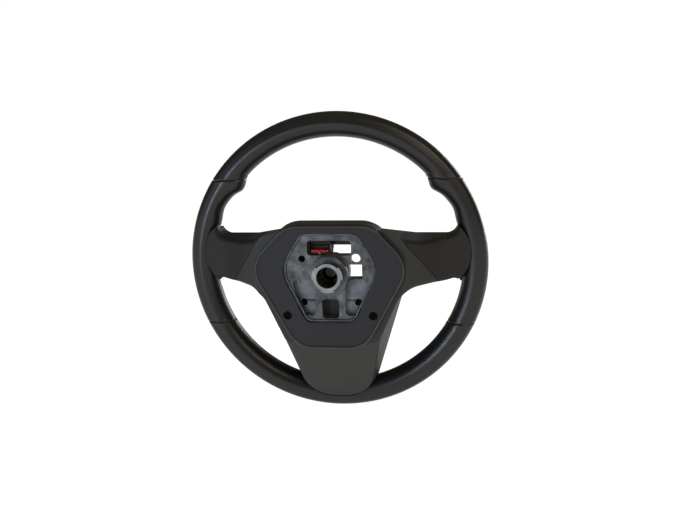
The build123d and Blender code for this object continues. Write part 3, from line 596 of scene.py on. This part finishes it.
steel, tree, shader, place = start_material("turned_steel")
rings = node(
    tree, "ShaderNodeTexWave",
    {"Vector": place, "Scale": WAVE_AT_SCALE_ONE * per(RING_MM), "Distortion": 0.4},
    wave_type="RINGS", rings_direction="Y",
).outputs["Fac"]
cloud = node(
    tree, "ShaderNodeTexNoise", {"Vector": place, "Scale": per(TARNISH_MM), "Detail": 5}
).outputs["Fac"]
bright = node(tree, "ShaderNodeValToRGB", {"Fac": cloud}, tones=("#7f8386", "#9a9ea1")).outputs[0]
flat = node(tree, "ShaderNodeVectorMath", {0: place, 1: (1, 0, 1)}, operation="MULTIPLY")
radius = node(
    tree, "ShaderNodeVectorMath", {0: flat.outputs[0]}, operation="LENGTH"
).outputs["Value"]
outside = node(
    tree, "ShaderNodeMapRange", {"Value": radius, "From Min": FULL_SHADE_R, "From Max": NO_SHADE_R}
).outputs[0]
# painted shade: a dark brown, not metallic, inside the bore
tint = node(
    tree, "ShaderNodeMix", {"Factor": outside, "A": linear("#25231d"), "B": bright},
    data_type="RGBA",
)
polish = node(tree, "ShaderNodeMapRange", {"Value": rings, "To Min": 0.32, "To Max": 0.46})
bump = node(tree, "ShaderNodeBump", {"Height": rings, "Strength": 0.3, "Distance": RING_RELIEF})
plug(tree, shader, {
    "Base Color": tint.outputs["Result"], "Roughness": polish.outputs[0],
    "Normal": bump.outputs[0], "Metallic": outside,
})
print("turned rings", RING_MM, "mm apart")

# %% [markdown]
# Bolt and pins are plated, and the edge of the casting is fettled, which means
# ground bare. All three are thin bright skins that dull in patches.

# %% Plated metals
PATCH_MM = 5
DULLING = 0.15


def plating(name, dark, light, rough, bare=1.0):
    """A thin metal skin, dulled in patches; grease leaves less of it bare."""
    material, tree, shader, place = start_material(name)
    cloud = node(
        tree, "ShaderNodeTexNoise", {"Vector": place, "Scale": per(PATCH_MM), "Detail": 5}
    ).outputs["Fac"]
    tint = node(tree, "ShaderNodeValToRGB", {"Fac": cloud}, tones=(dark, light))
    polish = node(
        tree, "ShaderNodeMapRange", {"Value": cloud, "To Min": rough, "To Max": rough + DULLING}
    )
    plug(tree, shader, {
        "Base Color": tint.outputs[0], "Roughness": polish.outputs[0], "Metallic": bare,
    })
    return material


metals = {
    "cast_alloy": casting,
    "machined_steel": steel,
    # grease over zinc: a yellowish grey that hardly mirrors
    "plated_steel": plating("greased_zinc_plating", "#68655a", "#747163", 0.6, 0.2),
    # a ground edge: brighter than the casting's skin
    "fettled_edge": plating("fettled_aluminium", "#565a5e", "#74787c", 0.5),
    # tin worn through to the brass: dim gold in the connector's shade
    "tinned_brass": plating("tinned_brass", "#4f4328", "#6e5e3a", 0.35),
}
print(len(metals), "metals")

# %% [markdown]
# ## Dress the CAD nodes
#
# The record says which finish each node has, so the finishes are handed out by
# slot. The CAD meshes themselves stay untouched. Two kinds of piece look darker
# in the photograph than others of their slot: the guide sockets and the end
# trims. Their darker finishes are painted shade.

# %% Dress the nodes
# painted shade: darker finishes for the deep sockets and the end trims
DARKER = {
    "airbag_guide_sockets": "painted_shade_black",
    "left_spoke_back_trim": "trim_plastic",
    "right_spoke_back_trim": "trim_plastic",
}
finishes = {**plastics, **metals, "leather": leather}
parts = frame["record"]["subparts"]
for part in parts:
    finish = DARKER.get(part["node"], part["material_slot"])
    materials = frame["nodes"][part["node"]].data.materials
    materials.clear()
    materials.append(finishes[finish])
print(len(parts), "nodes dressed")

# %% [markdown]
# ## Borders
#
# Two raised borders catch the light in the photograph: the rounded bead along
# the shield's edge and the ridge that the casting has inside the shield's
# opening. Both follow an outline of straight sides and round corners, given by
# its right-hand corners. Pulling every corner arc in by the same distance gives
# a parallel outline, so the borders sit where the CAD edges are.

# %% Border outlines
ARC_STEPS = 12


def rounded_outline(corners, radii, inset):
    """Points, in millimetres, of a symmetric round-cornered outline, pulled in by an inset."""
    corners = [Vector(corner) for corner in corners]
    corners += [Vector((-corner.x, corner.y)) for corner in reversed(corners)]
    radii = [*radii, *reversed(radii)]
    points = []
    for index, (corner, radius) in enumerate(zip(corners, radii)):
        before = (corners[index - 1] - corner).normalized()
        after = (corners[(index + 1) % len(corners)] - corner).normalized()
        half = before.angle(after) / 2
        middle = corner + (before + after).normalized() * radius / sin(half)
        start = corner + before * radius / tan(half) - middle
        turn = 2 * half - pi
        for step in range(ARC_STEPS + 1):
            spoke = Matrix.Rotation(turn * step / ARC_STEPS, 2) @ start
            points.append(middle + spoke * (radius - inset) / radius)
    return points


# right-hand corners from the top down, and their radii, in millimetres
SHIELD = ([(50.5, 57.0), (94.4, 10.1), (40.4, -88.2)], [35, 33, 32])
OPENING = ([(33.5, 48.6), (59.0, 6.0), (28.4, -57.6)], [15, 37, 12])
print(len(rounded_outline(*SHIELD, inset=0)), "points round the shield")

# %% [markdown]
# A border starts as the flat area inside its outline. Insetting that area and
# dropping the middle leaves a ring, which is lifted and bevelled round.

# %% Make the borders
BEVEL_STEPS = 5
BORDER_MERGE = 0.002 * MM


def border(name, outline, width, low, high, rounding, finish):
    """A raised border along an outline, between two heights above the rim's middle, in mm."""
    bm = bmesh.new()
    bmesh.ops.create_circle(bm, cap_ends=True, segments=len(outline), radius=1)
    for vertex, (x, y) in zip(bm.verts, outline):
        vertex.co = (-x * MM, RIM_PLANE + low * MM, y * MM)
    bm.normal_update()
    area = bm.faces[:]
    ring = bmesh.ops.inset_region(
        bm, faces=area, thickness=width * MM, use_boundary=True, use_even_offset=True
    )["faces"]
    bmesh.ops.delete(bm, geom=area, context="FACES")
    lifted = bmesh.ops.extrude_face_region(bm, geom=ring)["geom"]
    crown = [item for item in lifted if isinstance(item, bmesh.types.BMFace)]
    corners = [item for item in lifted if isinstance(item, bmesh.types.BMVert)]
    bmesh.ops.translate(bm, verts=corners, vec=(0, (high - low) * MM, 0))
    rims = [edge for edge in bm.edges if sum(face in crown for face in edge.link_faces) == 1]
    bmesh.ops.bevel(
        bm, geom=rims, offset=rounding * MM, segments=BEVEL_STEPS, profile=0.5,
        affect="EDGES", material=-1,
    )
    bmesh.ops.remove_doubles(bm, verts=bm.verts, dist=BORDER_MERGE)
    bmesh.ops.recalc_face_normals(bm, faces=bm.faces)
    piece = new_object(name, bm)
    piece.data.shade_smooth()
    piece.data.set_sharp_from_angle(angle=SHARP_ANGLE)
    piece.data.materials.append(finishes[finish])
    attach(piece, "wheel")
    print(name, len(piece.data.polygons), "faces")


# the bead's lighter finish is a painted highlight
border(
    "shield_bead", rounded_outline(*SHIELD, inset=0.2), width=2.2, low=70.5, high=72.3,
    rounding=1.05, finish="plain_bead",
)
border(
    "casting_ridge", rounded_outline(*OPENING, inset=0.6), width=2.8, low=58.0, high=68.6,
    rounding=1.2, finish="fettled_edge",
)

# %% [markdown]
# ## Shade in the joints
#
# The shell and its end trims meet with a small gap. A black strip stands in it
# as painted shade, a little below the surface, so no light comes through the
# joint. The shell's cut edge is copied, drawn in from both sides and pushed over the gap.

# %% Shade in the joints
JOINT_TOP = (86.0 * MM, 37.0 * MM)
JOINT_FOOT = (123.1 * MM, -15.8 * MM)
JOINT_GAP = 0.6 * MM
STRIP_INSET = 0.3 * MM
EDGE_FACING = 0.999
EDGE_REACH = 0.1 * MM

for name, side in (("left_joint_shade_strip", -1), ("right_joint_shade_strip", 1)):
    top = Vector((side * JOINT_TOP[0], 0, JOINT_TOP[1]))
    foot = Vector((side * JOINT_FOOT[0], 0, JOINT_FOOT[1]))
    outward = (foot - top).cross(AXIS).normalized()
    outward *= side if outward.x > 0 else -side
    bm = merged_copy("spoke_back_shell")
    facing_out = [face for face in bm.faces if face.normal.dot(outward) > EDGE_FACING]
    edge = [
        face for face in facing_out
        if abs((face.calc_center_median() - top).dot(outward) + JOINT_GAP / 2) < EDGE_REACH
    ]
    rest = [face for face in bm.faces if face not in edge]
    bmesh.ops.delete(bm, geom=rest, context="FACES")
    drawn = bmesh.ops.inset_region(
        bm, faces=edge, thickness=STRIP_INSET, use_boundary=True, use_even_offset=True
    )
    bmesh.ops.delete(bm, geom=drawn["faces"], context="FACES")
    lifted = bmesh.ops.extrude_face_region(bm, geom=bm.faces[:])["geom"]
    moved = [item for item in lifted if isinstance(item, bmesh.types.BMVert)]
    bmesh.ops.translate(bm, verts=moved, vec=outward * JOINT_GAP)
    bmesh.ops.recalc_face_normals(bm, faces=bm.faces)
    shade_strip = new_object(name, bm)
    # painted shade: the strip is dead black
    shade_strip.data.materials.append(finishes["painted_shade_black"])
    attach(shade_strip, "wheel")
    print(name, len(edge), "faces of the shell's edge,", len(shade_strip.data.polygons), "made")
